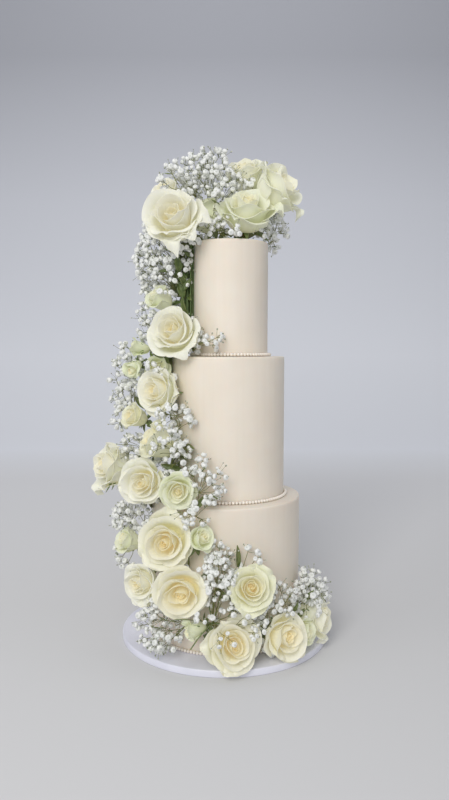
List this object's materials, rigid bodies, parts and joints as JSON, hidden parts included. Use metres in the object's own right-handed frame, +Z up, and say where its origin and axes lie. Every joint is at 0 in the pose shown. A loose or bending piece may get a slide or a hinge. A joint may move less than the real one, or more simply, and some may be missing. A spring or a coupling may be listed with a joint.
{
  "type": "tiered wedding cake",
  "caption": "Tiered wedding cake on a round board, with smooth ivory icing, pearl borders and a cascade of white roses and baby's breath down one side.",
  "frame": {"origin": "centre of the board's underside, on the surface the cake stands on", "axes": "+Z up through the tiers, -Y towards the guest who looks at the front, +X to that guest's right"},
  "size_m": [0.3367, 0.3176, 0.7158],
  "materials": {
    "board": "white foil-wrapped drum, satin",
    "icing": "smooth ivory icing, matt with a faint sheen",
    "sugar_pearls": "pearled sugar beads",
    "petals": "fresh rose petals, soft satin",
    "gypsophila": "white blossom on thin green stems, matt",
    "foliage": "fresh leaf, waxy satin"
  },
  "bodies": {
    "root": {"cake_board": "board", "gypsophila_crown_01": "gypsophila", "gypsophila_crown_02": "gypsophila", "gypsophila_crown_03": "gypsophila", "gypsophila_crown_04": "gypsophila", "gypsophila_foot_01": "gypsophila", "gypsophila_foot_02": "gypsophila", "gypsophila_foot_03": "gypsophila", "gypsophila_foot_04": "gypsophila", "gypsophila_foot_05": "gypsophila", "gypsophila_left_01": "gypsophila", "gypsophila_left_02": "gypsophila", "gypsophila_left_03": "gypsophila", "gypsophila_left_04": "gypsophila", "gypsophila_left_05": "gypsophila", "gypsophila_left_06": "gypsophila", "gypsophila_left_07": "gypsophila", "gypsophila_left_08": "gypsophila", "gypsophila_left_09": "gypsophila", "gypsophila_left_10": "gypsophila", "leaf_01": "foliage", "leaf_02": "foliage", "pearl_border_bottom": "sugar_pearls", "pearl_border_middle": "sugar_pearls", "pearl_border_top": "sugar_pearls", "rose_crown_01": "petals", "rose_crown_02": "petals", "rose_crown_03": "petals", "rose_crown_04": "petals", "rose_crown_05": "petals", "rose_crown_06": "petals", "rose_foot_01": "petals", "rose_foot_02": "petals", "rose_foot_03": "petals", "rose_foot_04": "petals", "rose_foot_05": "petals", "rose_foot_06": "petals", "rose_left_01": "petals", "rose_left_02": "petals", "rose_left_03": "petals", "rose_left_04": "petals", "rose_left_05": "petals", "rose_left_06": "petals", "rose_left_07": "petals", "spray_bud_01": "petals", "spray_bud_02": "petals", "spray_bud_03": "petals", "spray_rose_01": "petals", "spray_rose_02": "petals", "spray_rose_03": "petals", "spray_rose_04": "petals", "spray_rose_05": "petals", "spray_rose_06": "petals", "tier_bottom": "icing", "tier_middle": "icing", "tier_top": "icing"}
  },
  "joints": []
}
